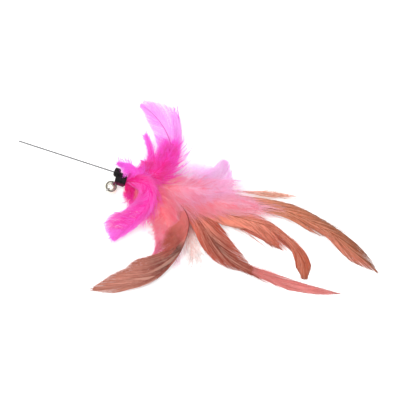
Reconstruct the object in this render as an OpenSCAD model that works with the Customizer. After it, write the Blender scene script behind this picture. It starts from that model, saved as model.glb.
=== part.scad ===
// Cat teaser lure: feathers and a jingle bell bound to the end of a steel wire.
// Origin at the wire's free end, on its axis. +X runs along the wire to the feathers, +Z is up.
// The lure is shown lying on a table: the bell and the feathers' tips touch it.

/* [Wire] */
// Diameter of the steel wire
wire_d = 0.9; // [0.6:0.1:1]
// Length of bare wire from its free end to the sleeve
wire_free = 70; // [40:5:400]
// Length of the wire's doubled-back tail
tail_len = 5.8; // [4:0.2:6]
// Bend radius of the tail, on the wire's axis
tail_bend_r = 0.7; // [0.65:0.05:0.9]
// Thickness of the glue on the wire inside the binding
glue_t = 0.1; // [0.05:0.05:0.1]
// Length over which the glue thins out at the mouth of the sleeve
glue_taper = 0.6; // [0.5:0.1:1]

/* [Binding] */
// Diameter of the round sleeve on the wire
sleeve_d = 6.2; // [5:0.1:6.6]
// Length of the sleeve
sleeve_len = 4.6; // [4:0.1:5]
// Height of the sleeve's axis over the wire's axis, across the wire
sleeve_offset = 0.3; // [0:0.1:0.5]
// Edge rounding of the sleeve
sleeve_round = 1.4; // [0.5:0.1:1.8]
// Distance from the wire's axis to the axis of the quill bundle
bundle_drop = 3.9; // [3.9:0.05:4.2]
// Diameter of the black wrap round the quills
wrap_d = 7.1; // [6.9:0.05:7.2]
// Length of the wrap
wrap_len = 8.2; // [7.4:0.1:12]
// Length over which the wrap reaches back beside the sleeve
nose_lap = 2.3; // [1.8:0.1:2.6]
// Edge rounding of the wrap's nose, beside the bell
nose_round = 2.6; // [2:0.1:3]
// Edge rounding of the wrap's end at the feathers
wrap_round = 1.2; // [0.8:0.1:1.8]
// Thickness of the thread layer on the quills
thread_t = 0.25; // [0.15:0.05:0.3]
// Length of the thread layer
thread_len = 4.6; // [3:0.1:4.8]
// Wall of the wrap round the wire
ridge_wall = 0.45; // [0.35:0.05:0.7]

/* [Bell] */
// Outer diameter of the bell
bell_d = 9.6; // [8:0.1:9.8]
// Thickness of the bell's sheet metal
bell_wall = 0.4; // [0.3:0.05:0.6]
// Thickness of the rolled seam round the bell
seam_d = 0.5; // [0.3:0.05:0.7]
// Width of the sound slots
slot_w = 0.8; // [0.5:0.05:1.2]
// Diameter of the round hole at each slot's end
slot_hole_d = 1.7; // [1.2:0.1:2]
// Diameter of the ball inside
ball_d = 3; // [2:0.1:3.2]
// Mean diameter of the shackle on the bell
shackle_d = 2.4; // [2.2:0.1:2.6]
// Diameter of the shackle's wire
shackle_wire_d = 0.7; // [0.5:0.05:0.8]
// Mean diameter of the black ring that carries the bell
ring_d = 6.8; // [6.4:0.1:8]
// Diameter of the ring's wire
ring_wire_d = 1; // [0.7:0.1:1.1]
// Mean diameter of the cord eye on the wrap
eye_d = 2.7; // [2.6:0.1:3]
// Diameter of the eye's cord
eye_cord_d = 0.9; // [0.7:0.1:1]
// Direction in which the bell lies from the eye, seen from above
bell_heading = 240; // [235:1:245]
// Angle between the ring's plane and the bell's axis
bell_tilt = 68; // [66:1:70]

/* [Feathers] */
// Full length of the longest hackle outside the binding
hackle_len = 190; // [140:5:220]
// Full length of a plume outside the binding
plume_len = 80; // [60:2:90]
// Width that the vanes' widths are shares of
vane_w = 12; // [8:0.5:14]
// Height that the feathers' layers are shares of
pile_h = 10; // [10:0.5:14]
// Diameter of a quill
quill_d = 0.8; // [0.6:0.05:0.8]
// Thickness of a vane at its shaft
vane_t = 0.8; // [0.6:0.05:0.9]
// Thickness of a vane at its edge
vane_edge_t = 0.3; // [0.2:0.05:0.4]
// Distance between the axes of neighbouring quills in the binding
quill_pitch = 0.9; // [0.85:0.01:0.9]

/* [Hidden] */
// Clearance round what sits in the binding
fit = 0.05;
// Clearance of parts that move
run = 0.3;
// Overrun of every cut
over = 1;
// Steps along one feather
feather_steps = 24;
// Share of its length over which a quill becomes a vane
morph_share = 0.12;
// Least half width of a feather, at its tip
tip_half = 0.25;
// Every second ring of a vane is drawn in by this much, which gives it a barbed edge
barb_shares = [1, 0.9];
round_fn = 48;
wire_fn = 24;

glued_r = wire_d / 2 + glue_t;
sleeve_x = wire_free;
sleeve_end = sleeve_x + sleeve_len;
wrap_x = sleeve_end - nose_lap;
wrap_end = wrap_x + wrap_len;
wrap_r = wrap_d / 2;
bundle_y = -bundle_drop;
butt_x = sleeve_end + run;
tail_z = 2 * tail_bend_r;
bend_x = sleeve_x + sleeve_len + nose_lap;

row_z = quill_pitch * sin(60);
slot_y = quill_pitch / 2;
// Outermost place of a quill: five half steps across, one row up
bundle_r = norm([5 * slot_y, row_z]) + quill_d / 2 + fit / 2;
thread_r = bundle_r + thread_t;

// Place of the cord eye on the wrap, as shares of the wrap's length and radius
eye_shares = [0.1, -0.93, 0.76];
eye_at = [wrap_x + eye_shares[0] * wrap_len, bundle_y + eye_shares[1] * wrap_r, eye_shares[2] * wrap_r];
bell_r = bell_d / 2;
// The ring's wire runs through the shackle this far from the bell's centre
shackle_reach = bell_r + ring_wire_d / 2 + run + fit;
bell_at = [ring_d - shackle_reach * cos(bell_tilt), 0, -shackle_reach * sin(bell_tilt)];
// The ball lies this far below the bell's centre, clear of the shackle's foot
ball_drop = shackle_reach - (shackle_d + shackle_wire_d) / 2 - ball_d / 2 - 2 * fit;

black = [0.11, 0.08, 0.11];
steel = [0.55, 0.55, 0.56];
brass = [0.93, 0.87, 0.66];
magenta = [0.95, 0.30, 0.75];
hot_pink = [0.93, 0.15, 0.60];
pale_pink = [0.98, 0.72, 0.92];
coral = [0.98, 0.66, 0.67];
rust = [0.72, 0.50, 0.42];

// Half width along a feather, as [share of its length, share of its widest half]
hackle_width_shares = [[0, 0], [0.1, 0.1], [0.3, 0.45], [0.5, 0.95], [0.7, 1], [0.88, 0.72], [1, 0.03]];
plume_width_shares = [[0, 0], [0.1, 0.2], [0.3, 0.7], [0.55, 1], [0.8, 0.95], [1, 0.25]];
fan_width_shares = [[0, 0], [0.1, 0.15], [0.35, 0.45], [0.6, 0.7], [0.85, 1], [1, 0.6]];

// One row for each feather:
// name, colour, full length, width shares, place in the quill bundle [half steps across, rows up],
// share of the full length, share of vane_w on the left and on the right of the shaft,
// [share of its length, heading in degrees from +X], [share of its length, height as a share of pile_h]
feather_shares = [
    ["plume_knot_cover", magenta, plume_len, plume_width_shares, [2, 2], 0.31, 0.25, 0.35,
        [[0, 30], [0.25, 60], [0.5, 150], [0.75, 185], [1, 190]], [[0.3, 0.8], [1, 0.85]]],
    ["plume_dense", hot_pink, plume_len, plume_width_shares, [4, 2], 0.62, 0.8, 0.7,
        [[0, 14], [0.3, 38], [0.6, 75], [1, 105]], [[0.2, 0.5], [0.5, 0.75], [1, 0.95]]],
    ["plume_curl", magenta, plume_len, fan_width_shares, [0, 2], 0.8, 0.62, 0.62,
        [[0, 18], [0.15, 12], [0.35, -80], [0.55, -112], [0.8, -125], [1, -122]],
        [[0.12, 1], [0.4, 1.1], [0.7, 0.7], [1, 0]]],
    ["coral_fluff_low", coral, plume_len, plume_width_shares, [-2, 2], 0.8, 0.7, 0.85,
        [[0, -4], [0.35, -22], [0.7, -68], [1, -95]], [[0.2, 0.65], [1, 0.6]]],
    ["plume_cup", hot_pink, plume_len, plume_width_shares, [-5, 1], 0.26, 0.28, 0.28,
        [[0, -10], [0.3, -50], [0.6, -120], [1, -165]], [[0.4, 0.12], [1, 0.1]]],
    ["hackle_sickle", rust, hackle_len, hackle_width_shares, [-3, 1], 0.76, 0.2, 1,
        [[0, 7], [0.24, -12], [0.41, -90], [0.6, -112], [0.8, -147], [1, -158]],
        [[0.1, 0.38], [0.4, 0.35], [1, -0.72]]],
    ["coral_fluff_long", coral, plume_len, plume_width_shares, [-1, 1], 1.1, 0.5, 0.6,
        [[0, 7], [0.3, 5], [1, 8]], [[0.2, 0.25], [1, 0.28]]],
    ["coral_fluff_top", coral, plume_len, plume_width_shares, [1, 1], 0.75, 0.75, 0.75,
        [[0, 8], [0.4, 12], [1, 20]], [[0.2, 0.48], [1, 0.5]]],
    ["plume_thin", pale_pink, plume_len, hackle_width_shares, [3, 1], 0.54, 0.18, 0.18,
        [[0, 20], [0.25, 42], [0.5, 88], [0.75, 125], [1, 138]], [[0.2, 0.25], [0.6, 0.4], [1, 0.6]]],
    ["plume_tall", pale_pink, plume_len, plume_width_shares, [5, 1], 0.99, 0.75, 0.6,
        [[0, 18], [0.2, 32], [0.4, 78], [0.6, 118], [0.8, 143], [1, 165]], [[0.2, 0.08], [0.6, 0.1], [1, 0]]],
    ["plume_under", hot_pink, plume_len, plume_width_shares, [-4, 0], 0.72, 0.4, 0.4,
        [[0, -10], [0.4, -38], [0.7, -62], [1, -86]], [[0.25, -0.15], [1, -0.4]]],
    ["hackle_low_short", rust, hackle_len, hackle_width_shares, [-2, 0], 0.57, 0.5, 0.5,
        [[0, 3], [0.2, -2], [0.4, -22], [0.6, -46], [0.8, -28], [1, -8]],
        [[0.1, -0.02], [0.5, -0.05], [1, -0.35]]],
    ["hackle_hooked", rust, hackle_len, hackle_width_shares, [0, 0], 0.8, 0.2, 0.5,
        [[0, 4], [0.2, 0], [0.4, 0], [0.6, 4], [0.8, -28], [1, -80]],
        [[0.1, 0.1], [0.5, 0.12], [1, -0.72]]],
    ["hackle_longest", rust, hackle_len, hackle_width_shares, [2, 0], 1, 0.45, 0.45,
        [[0, 9], [0.2, 6], [0.6, 5], [0.8, -20], [1, -31]], [[0.1, -0.02], [0.5, -0.05], [1, -0.72]]],
    ["plume_tall_inner", pale_pink, plume_len, plume_width_shares, [4, 0], 0.95, 0.28, 0.28,
        [[0, 10], [0.2, 25], [0.4, 66], [0.6, 102], [0.8, 118], [1, 125]],
        [[0.2, -0.12], [0.6, -0.15], [1, -0.3]]],
    ["hackle_low_long", rust, hackle_len, hackle_width_shares, [-3, -1], 0.91, 0.25, 0.25,
        [[0, 1], [0.2, -7], [0.4, -35], [0.6, -8], [0.8, 0], [1, 8]],
        [[0.1, -0.35], [0.4, -0.48], [0.6, -0.68], [1, -0.72]]],
    ["hackle_middle", rust, hackle_len, hackle_width_shares, [-1, -1], 0.67, 0.22, 0.35,
        [[0, 1], [0.4, -8], [0.6, 7], [0.8, -4], [1, -28]], [[0.1, -0.18], [0.5, -0.2], [1, -0.72]]],
    ["hackle_wisp", rust, hackle_len, hackle_width_shares, [3, -1], 0.61, 0.2, 0.2,
        [[0, 11], [1, 14]], [[0.1, -0.3], [1, -0.3]]],
    ["coral_strands", coral, plume_len, plume_width_shares, [-2, -2], 0.95, 0.35, 0.35,
        [[0, -5], [0.35, -12], [0.6, -40], [1, -66]], [[0.2, -0.5], [0.6, -0.62], [1, -0.72]]],
    ["plume_petal", pale_pink, plume_len, fan_width_shares, [0, -2], 0.99, 0.85, 1,
        [[0, 6], [0.4, 10], [0.6, 22], [0.8, 50], [1, 85]], [[0.2, -0.66], [1, -0.72]]],
    ["plume_pale", pale_pink, plume_len, plume_width_shares, [2, -2], 0.72, 0.7, 0.6,
        [[0, 14], [0.5, 22], [1, 32]], [[0.2, -0.44], [1, -0.44]]]
];

module x_rod(r, from_x, to_x, fn = wire_fn)
    translate([from_x, 0, 0]) rotate([0, 90, 0]) cylinder(r = r, h = to_x - from_x, $fn = fn);

module torus(mean_d, wire) rotate_extrude($fn = round_fn)
    translate([mean_d / 2, 0]) circle(d = wire, $fn = wire_fn);

// A round bar along +X, with its own edge rounding at its start and its end
module rounded_bar(r, len, from_edge, to_edge)
    rotate([0, 90, 0]) rotate_extrude($fn = round_fn)
        polygon(concat(
            [[0, 0]],
            [for (a = [0:15:90]) [r - from_edge + from_edge * sin(a), from_edge - from_edge * cos(a)]],
            [for (a = [90:-15:0]) [r - to_edge + to_edge * sin(a), len - to_edge + to_edge * cos(a)]],
            [[0, len]]));

// The wire inside the binding and its tail, doubled back over it, in their glue.
// grow widens it all round for the bores that hold it, and reach lengthens it towards the free end.
module glued_wire(grow = 0, reach = 0) {
    r = glued_r + grow;
    x_rod(r, sleeve_x - reach, bend_x);
    translate([bend_x, 0, tail_bend_r]) rotate([90, 0, 0]) rotate([0, 0, -90])
        rotate_extrude(angle = 180, $fn = round_fn) translate([tail_bend_r, 0]) circle(r = r, $fn = wire_fn);
    translate([0, 0, tail_z]) x_rod(r, bend_x - tail_len - grow, bend_x);
}

module wire() color(steel) {
    x_rod(wire_d / 2, 0, bend_x);
    translate([sleeve_x, 0, 0]) rotate([0, 90, 0])
        cylinder(r1 = wire_d / 2, r2 = glued_r, h = glue_taper, $fn = wire_fn);
    glued_wire(0, -glue_taper);
}

module wire_sleeve() color(black) difference() {
    translate([sleeve_x, sleeve_offset, 0]) rounded_bar(sleeve_d / 2, sleeve_len, sleeve_round, sleeve_round);
    glued_wire(fit, over);
}

module cord_eye() translate(eye_at) rotate([0, 0, bell_heading]) rotate([90, 0, 0]) torus(eye_d, eye_cord_d);

module quill_wrap() color(black) difference() {
    union() {
        translate([wrap_x, bundle_y, 0]) rounded_bar(wrap_r, wrap_len, nose_round, wrap_round);
        for (z = [0, tail_z]) translate([sleeve_end, 0, z])
            rounded_bar(glued_r + ridge_wall, bend_x + tail_bend_r + 2 * glued_r + ridge_wall - sleeve_end,
                ridge_wall, ridge_wall);
        cord_eye();
    }
    translate([0, bundle_y, 0]) x_rod(thread_r + fit, butt_x - run, wrap_end + over, round_fn);
    translate([0, sleeve_offset, 0]) x_rod(sleeve_d / 2 + fit, wrap_x - over, sleeve_end + fit, round_fn);
    glued_wire(fit, over);
}

module thread_whipping() color(magenta) translate([0, bundle_y, 0]) difference() {
    x_rod(thread_r, wrap_end - thread_len - run, wrap_end - run, round_fn);
    x_rod(bundle_r, wrap_end - thread_len - over, wrap_end + over, round_fn);
}

// Places what follows at the cord eye, with +X towards the bell
module at_eye() translate(eye_at) rotate([0, 0, bell_heading]) children();

// Places what follows at the bell's centre, with +Z towards its shackle
module at_bell() at_eye() translate(bell_at) rotate([0, 90 - bell_tilt, 0]) children();

module bell_ring() color(black) at_eye() translate([ring_d / 2, 0, 0]) torus(ring_d, ring_wire_d);

module bell_shackle() color(steel) at_bell() translate([0, 0, shackle_reach])
    rotate([90, 0, 0]) torus(shackle_d, shackle_wire_d);

module half_shell(up) difference() {
    sphere(r = bell_r, $fn = round_fn);
    sphere(r = bell_r - bell_wall, $fn = round_fn);
    translate([-bell_d, -bell_d, up ? -2 * bell_d : 0]) cube(2 * bell_d);
}

module bell_upper_shell() color(brass) at_bell() difference() {
    half_shell(true);
    slit = [shackle_d + shackle_wire_d + 2 * fit, shackle_wire_d + 2 * fit, bell_d];
    translate([-slit[0] / 2, -slit[1] / 2, 0]) cube(slit);
}

// Height of the sound slots' ends below the seam, as a share of the bell's radius
slot_end_share = 0.42;

module bell_lower_shell() color(brass) at_bell() difference() {
    union() {
        half_shell(false);
        translate([0, 0, -seam_d / 2]) difference() {
            torus(bell_d - bell_wall, seam_d);
            cylinder(r = bell_r - bell_wall, h = seam_d + over, center = true, $fn = round_fn);
        }
    }
    for (a = [0, 90]) rotate([0, 0, a]) {
        translate([-bell_d, -slot_w / 2, -2 * bell_d - slot_end_share * bell_r])
            cube([2 * bell_d, slot_w, 2 * bell_d]);
        translate([0, 0, -slot_end_share * bell_r]) rotate([0, 90, 0])
            cylinder(d = slot_hole_d, h = 2 * bell_d, center = true, $fn = wire_fn);
    }
}

module bell_ball() color(steel) at_eye() translate(bell_at - [0, 0, ball_drop])
    sphere(d = ball_d, $fn = wire_fn);

// Where a feather's quill lies in the bundle
function quill_y(f) = bundle_y + f[4][0] * slot_y;
function quill_z(f) = f[4][1] * row_z;

// Points of the shaft in plan, one for each step of equal length along its headings
function shaft(f, k) = k == 0 ? [[wrap_end, quill_y(f)]] :
    let (rest = shaft(f, k - 1), a = lookup((k - 0.5) / feather_steps, f[8]))
    concat(rest, [rest[k - 1] + f[2] * f[5] / feather_steps * [cos(a), sin(a)]]);

// Height of the shaft, with the corners of its table rounded off
ease_share = 0.06;
function raw_height(f, t) = pile_h * lookup(t, concat([[0, quill_z(f) / pile_h]], f[9]));
function height(f, t) = t < ease_share ? raw_height(f, t) :
    (raw_height(f, t - ease_share) + raw_height(f, t) + raw_height(f, t + ease_share)) / 3;

// Six points round the shaft at p: half widths left and right, half thickness in the middle and at the edges
function ring_points(p, a, left, right, mid, edge) =
    let (side = [-sin(a), cos(a), 0], up = [0, 0, 1])
    [p + side * left + up * edge, p + up * mid, p - side * right + up * edge,
     p - side * right - up * edge, p - up * mid, p + side * left - up * edge];

function mix(a, b, t) = a + (b - a) * t;

function vane_ring(f, plan, k) =
    let (t = k / feather_steps, b = min(1, t / morph_share), q = quill_d / 2,
         wide = vane_w * lookup(t, f[3]) * barb_shares[k % 2])
    ring_points([plan[k][0], plan[k][1], height(f, t)], lookup(t, f[8]),
        max(tip_half, mix(q * cos(30), wide * f[6], b)), max(tip_half, mix(q * cos(30), wide * f[7], b)),
        mix(q, vane_t / 2 * (1 - t / 2), b), mix(q / 2, vane_edge_t / 2, b));

module feather(f) {
    plan = shaft(f, feather_steps);
    q = quill_d / 2;
    butt = ring_points([butt_x, quill_y(f), quill_z(f)], 0, q * cos(30), q * cos(30), q, q / 2);
    rings = concat([butt], [for (k = [0:feather_steps]) vane_ring(f, plan, k)]);
    sides = 6;
    last = sides * (len(rings) - 1);
    color(f[1]) polyhedron(
        points = [for (r = rings, p = r) p],
        faces = concat(
            [for (i = [0:len(rings) - 2], j = [0:sides - 1], half = [0, 1])
                let (a = i * sides + j, b = i * sides + (j + 1) % sides)
                half == 0 ? [a, b + sides, b] : [a, a + sides, b + sides]],
            [for (j = [1:sides - 2]) [0, j, j + 1]],
            [for (j = [1:sides - 2]) [last, last + j + 1, last + j]]));
}

wire();
wire_sleeve();
quill_wrap();
thread_whipping();
bell_ring();
bell_shackle();
bell_upper_shell();
bell_lower_shell();
bell_ball();
for (f = feather_shares) feather(f);
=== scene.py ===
"""The looks of a cat teaser lure: dyed feathers and a jingle bell bound to a steel wire.

Lengths are in metres, in the frame of the solids: the wire runs along +X and +Z is up. A feather's options
are in millimetres where they are lengths, and otherwise shares. A table is a dictionary from a share, of a
feather's length or of a colour ramp, to a value there. Each feather repeats its solid's line and widths,
and is then drawn barb by barb.
"""
import math

import bpy
import numpy as np
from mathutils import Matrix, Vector


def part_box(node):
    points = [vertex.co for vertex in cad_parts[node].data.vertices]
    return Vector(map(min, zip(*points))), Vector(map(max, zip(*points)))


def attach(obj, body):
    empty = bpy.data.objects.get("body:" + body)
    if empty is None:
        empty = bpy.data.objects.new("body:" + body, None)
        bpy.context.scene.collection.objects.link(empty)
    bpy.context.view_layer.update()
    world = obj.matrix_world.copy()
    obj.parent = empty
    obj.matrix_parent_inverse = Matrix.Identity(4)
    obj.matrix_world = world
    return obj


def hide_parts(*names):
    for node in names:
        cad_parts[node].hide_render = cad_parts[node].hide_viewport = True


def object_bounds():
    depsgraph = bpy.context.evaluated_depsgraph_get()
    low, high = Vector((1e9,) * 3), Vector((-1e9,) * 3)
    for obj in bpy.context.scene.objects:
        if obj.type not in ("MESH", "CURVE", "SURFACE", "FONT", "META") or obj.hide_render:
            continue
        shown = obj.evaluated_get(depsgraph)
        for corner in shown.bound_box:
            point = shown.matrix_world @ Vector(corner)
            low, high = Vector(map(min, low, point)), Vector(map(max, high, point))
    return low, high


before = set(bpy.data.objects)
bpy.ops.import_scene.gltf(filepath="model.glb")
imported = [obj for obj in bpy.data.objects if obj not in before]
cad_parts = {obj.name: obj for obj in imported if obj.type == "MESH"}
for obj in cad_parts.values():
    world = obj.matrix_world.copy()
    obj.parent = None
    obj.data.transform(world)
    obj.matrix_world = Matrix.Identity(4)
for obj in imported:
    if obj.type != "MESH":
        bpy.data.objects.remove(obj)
cad_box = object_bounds()

MM = 0.001

# Driving sizes, as in the solids
HACKLE = 190 * MM
PLUME = 80 * MM
VANE_W = 12 * MM
PILE_H = 10 * MM
QUILL_PITCH = 0.9 * MM
ROW_STEP = QUILL_PITCH * math.sin(math.radians(60))

# Places read from the solids
FLOOR_Z = cad_box[0].z
BUTT_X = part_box("hackle_longest")[0].x
EXIT_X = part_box("quill_wrap")[1].x
bundle_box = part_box("thread_whipping")
BUNDLE_Y = (bundle_box[0].y + bundle_box[1].y) / 2

# What each point of a feather knows: its share along the shaft, its share along its barb, its side and share
# across the feather, its barb's tone, and whether it is on the shaft
FACTS = ("along", "out", "across", "tone", "shaft")

# Steps in a shaft's line, and the share of it over which its height eases from one slope into the next
STEPS = 120
EASE = 0.06
# No strand lies lower than this above the floor
FLOOR_GAP = 0.05 * MM
# A table that moves nothing
LEVEL = {0: 0, 1: 0}

# Points along a barb and along a strand of down, and sides round a shaft
BARB_POINTS = 8
DOWN_POINTS = 9
SHAFT_SIDES = 8
# A strand's height as a share of its half width, and how much it leans to a side at random
RIDGE = 0.3
LEAN = 0.25
# How far a barb strays into the next big and the next small bunch
BIG_BLUR, SMALL_BLUR = 0.05, 0.3
# How much of a barb's length it decides itself, and more in a loose web, and what its small and its big
# bunch decide of the rest
OWN, OWN_LOOSE = 0.35, 0.55
BUNCH_SAY = (0.45, 0.55)
# How much shorter a barb of a loose web may be, and at most, and how ragged a feather's end is
SHORTER, MOST_SHORTER = 0.45, 0.9
RAGGED = 0.012
# How far strands stray by themselves and with their bunch: barbs in height, and down in length and in angle
BARB_STRAY, DOWN_STRAY, ANGLE_STRAY = (0.5, 1.6), (0.6, 1.2), (0.7, 1.2)
# How down varies in length, bunches up, draws together, stands up and thins out
DOWN = dict(spread=0.2, clumps=18, blur=0.4, gather=0.2, lift=1.2 * MM, fade=0.75)
# Strands of down at a hackle's base, their length in millimetres, and the hairs on them
BASE_DOWN = dict(count=200, length=15, hairs=800, hair_length=1.6 * MM)
# The shortest down of a feather as a share of its longest
SHORT_DOWN = 0.8
# A fine hair's width, the share along a strand from which hairs grow, and how much of one runs along the
# strand and how much away from it
HAIR_W = 0.05 * MM
HAIR_FROM = 0.25
HAIR_ALONG, HAIR_ASIDE = 0.75, 0.65
# Where a strand lies in its cell of the map for baking, and how many times as long as wide a cell is
CELL_START, CELL_END, CELL_HALF = 0.1, 0.9, 0.3
CELL_SHAPE = 3
# The tones of the dark and of the light locks that lie on a feather
ACCENT_TONES = ((0, 0.05), (0.95, 1))


def look_up(at, table):
    """A table's value at a share, with straight lines between its rows."""
    return np.interp(at, list(table), list(table.values()))


def unit(vectors):
    return vectors / np.maximum(np.linalg.norm(vectors, axis=-1, keepdims=True), 1e-12)


class Shaft:
    """The line of a feather, with a place for each share of its length and each distance across it."""

    def __init__(self, full, slot, share, headings, heights, shift, lifted):
        """slot is the quill's place in the bundle, share the feather's share of the full length, headings
        are in degrees, and heights shares of PILE_H. shift and lifted say how far the shaft lies to the left
        of the solid's middle line and above it, in shares of VANE_W and of PILE_H."""
        self.length = full * share
        self.headings = headings
        self.share = np.linspace(0, 1, STEPS + 1)
        middle = (self.share[1:] + self.share[:-1]) / 2
        turn = np.radians(look_up(middle, headings))
        moves = np.column_stack([np.cos(turn), np.sin(turn)]) * self.length / STEPS
        start = np.array([EXIT_X, BUNDLE_Y + slot[0] * QUILL_PITCH / 2])
        plan = np.vstack([start, start + np.cumsum(moves, axis=0)])
        turn = np.radians(look_up(self.share, headings))
        aside = np.column_stack([-np.sin(turn), np.cos(turn)])
        plan += aside * (VANE_W * look_up(self.share, shift))[:, None]
        heights = {0: slot[1] * ROW_STEP / PILE_H, **heights}
        near = [look_up(self.share + step, heights) for step in (-EASE, 0, EASE)]
        height = np.where(self.share < EASE, near[1], sum(near) / 3) + look_up(self.share, lifted)
        self.points = np.column_stack([plan, PILE_H * height])
        self.butt = np.array([BUTT_X, start[1], slot[1] * ROW_STEP])

    def place(self, t, away):
        """Points at share t along the shaft and at a distance away to its left."""
        inside = np.clip(t, 0, 1)
        point = np.stack([np.interp(inside, self.share, self.points[:, i]) for i in range(3)], -1)
        turn = np.radians(look_up(inside, self.headings))
        point[..., 0] += np.cos(turn) * (t - inside) * self.length - np.sin(turn) * away
        point[..., 1] += np.sin(turn) * (t - inside) * self.length + np.cos(turn) * away
        return point


class Strands:
    """Collects closed three-sided strands, with what the dyes need to know at each point."""

    def __init__(self, seed):
        self.rng = np.random.default_rng(seed)
        self.groups = []

    def roots(self, count, start, stop):
        """Barbs in a row: their order from 0 to 1, and their shares along the shaft from start to stop."""
        order = (np.arange(count) + self.rng.random(count)) / count
        return order, start + (stop - start) * order

    def bunch(self, order, number, blur):
        """Sorts barbs into bunches in a row, and gives each its bunch's number and four random shares."""
        which = np.floor(order * number + blur * self.rng.standard_normal(len(order))).astype(int)
        which -= which.min()
        return which, self.rng.random((which.max() + 1, 4))[which]

    def vary(self, mood, own, shared):
        """How far each strand strays, partly by itself and partly with its bunch."""
        return own * self.rng.standard_normal(len(mood)) + shared * (mood - 0.5)

    def half_widths(self, count, width, fade, u):
        """Strands that thin out towards their tips, some finer than others."""
        return width / 2 * (1 - fade * u ** 1.6) * (0.8 + 0.4 * self.rng.random((count, 1)))

    def web(self, shaft, side, edge, count, start=0.3, stop=0.98, reach=0.2, width=0.4, bow=1.35, splits=9,
            clumps=40, part=0.3, gather=0.4, uneven=0.25, tips=(0.9, 1.08), wave=0, lift=0.2, rise=0,
            tone=(0, 1), last=1, fade=0.8, spread=0.08, loose=0, patches=(0.4, 0.35), sway=0, lock=0):
        """The barbs on one side of a shaft, from share start to stop. Each leaves the shaft, reaches further
        along it and ends at the edge, a table of distances in shares of VANE_W. part and gather are how far
        the big and the small bunches close up, loose how much each barb goes its own way, patches how much
        of its tone it shares with its big and its small bunch, sway how far a small bunch wanders as one
        lock, and lock how far its barbs come together at their ends."""
        width, wave, lift, rise, sway = (MM * size for size in (width, wave, lift, rise, sway))
        rng = self.rng
        order, t0 = self.roots(count, start, stop)
        big, big_mood = self.bunch(order, splits, BIG_BLUR)
        small, small_mood = self.bunch(order, clumps, SMALL_BLUR)
        end = t0 + reach * (1 + spread * rng.standard_normal(count))
        small_end = start + (stop - start) * (small + 0.5) / clumps + reach
        big_end = start + (stop - start) * (big + 0.5) / splits + reach
        end += (small_end - end) * gather * small_mood[:, 0]
        end += (big_end - end) * part * big_mood[:, 0]
        end += uneven * reach * (big_mood[:, 1] - 0.5)
        own = min(OWN + OWN_LOOSE * loose, 1)
        shared = BUNCH_SAY[0] * small_mood[:, 1] + BUNCH_SAY[1] * big_mood[:, 2]
        tip = tips[0] + (tips[1] - tips[0]) * (own * rng.random(count) + (1 - own) * shared)
        away = side * VANE_W * look_up(end, edge) * tip
        stop_at = last + RAGGED * rng.random(count)
        kept = np.where(end > stop_at, np.maximum(stop_at - t0, 0.01) / np.maximum(end - t0, 0.01), 1)
        kept *= 1 - min(SHORTER * loose, MOST_SHORTER) * rng.random(count)
        u = np.linspace(0, 1, BARB_POINTS)[None, :]
        t = t0[:, None] + ((end - t0) * kept)[:, None] * u ** 1.1
        outward = 1 - (1 - kept[:, None] * u) ** bow
        lines = shaft.place(t, away[:, None] * outward)
        raised = lift * self.vary(small_mood[:, 2], *BARB_STRAY)
        lines[..., 2] += (raised[:, None] + rise) * outward
        if lock:
            self.draw_together(lines, small, lock * (0.5 + 0.5 * rng.random(count)), u)
        self.ripple(lines, wave, u)
        self.ripple(lines, sway, u, small)
        half = self.half_widths(count, width, fade, u)
        mood = patches[0] * big_mood[:, 3] + patches[1] * small_mood[:, 3]
        mood += (1 - sum(patches)) * rng.random(count)
        self.add(lines, half, np.clip(t, 0, 1), np.broadcast_to(u, t.shape), side * outward, tone, mood)

    def tuft(self, shaft, side, count, length, start, stop, lean={0: 55, 1: 35}, settle={0: 25, 1: 12},
             width=0.14, wave=0.5, scatter=10, tone=(0, 1)):
        """Loose barbs on one side of a shaft. lean and settle are tables of the angle to the shaft that a
        barb has at its root and at its tip, and scatter is how far it may be off that angle."""
        rng = self.rng
        order, t0 = self.roots(count, start, stop)
        clump, mood = self.bunch(order, DOWN["clumps"], DOWN["blur"])
        long = MM * look_up(t0, length) * (1 + DOWN["spread"] * self.vary(mood[:, 0], *DOWN_STRAY))
        u = np.linspace(0, 1, DOWN_POINTS)[None, :]
        root = look_up(t0, lean)[:, None]
        tip = look_up(t0, settle)[:, None]
        jitter = scatter * self.vary(mood[:, 1], *ANGLE_STRAY)[:, None]
        angle = (root * (1 - u) ** 1.5 + tip * (1 - (1 - u) ** 1.5) + jitter) * side
        turn = np.radians(look_up(t0, shaft.headings)[:, None] + angle)
        step = long[:, None] / (DOWN_POINTS - 1) * np.ones_like(u)
        moves = np.stack([np.cos(turn), np.sin(turn), np.zeros_like(turn)], -1) * step[..., None]
        moves[:, 0] = 0
        lines = shaft.place(t0[:, None] + 0 * u, 0 * u) + np.cumsum(moves, axis=1)
        lines[..., 2] += DOWN["lift"] * rng.standard_normal((count, 1)) * np.sin(u * math.pi * 0.6)
        self.ripple(lines, MM * wave, u)
        self.draw_together(lines, clump, DOWN["gather"] * mood[:, 2], u)
        half = self.half_widths(count, MM * width, DOWN["fade"], u)
        along = np.clip(t0[:, None] + 0.1 * u, 0, 1)
        out = np.broadcast_to(u, along.shape)
        self.add(lines, half, along, out, side * out, tone, 0.5 * mood[:, 3] + 0.5 * rng.random(count))

    def draw_together(self, lines, bunch, amount, u):
        """Pulls the ends of each strand towards the middle of its bunch."""
        middle = np.zeros((bunch.max() + 1, lines.shape[1], 3))
        np.add.at(middle, bunch, lines)
        middle /= np.maximum(np.bincount(bunch, minlength=len(middle)), 1)[:, None, None]
        lines += (middle[bunch] - lines) * amount[:, None, None] * (u ** 1.5)[..., None]

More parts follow.
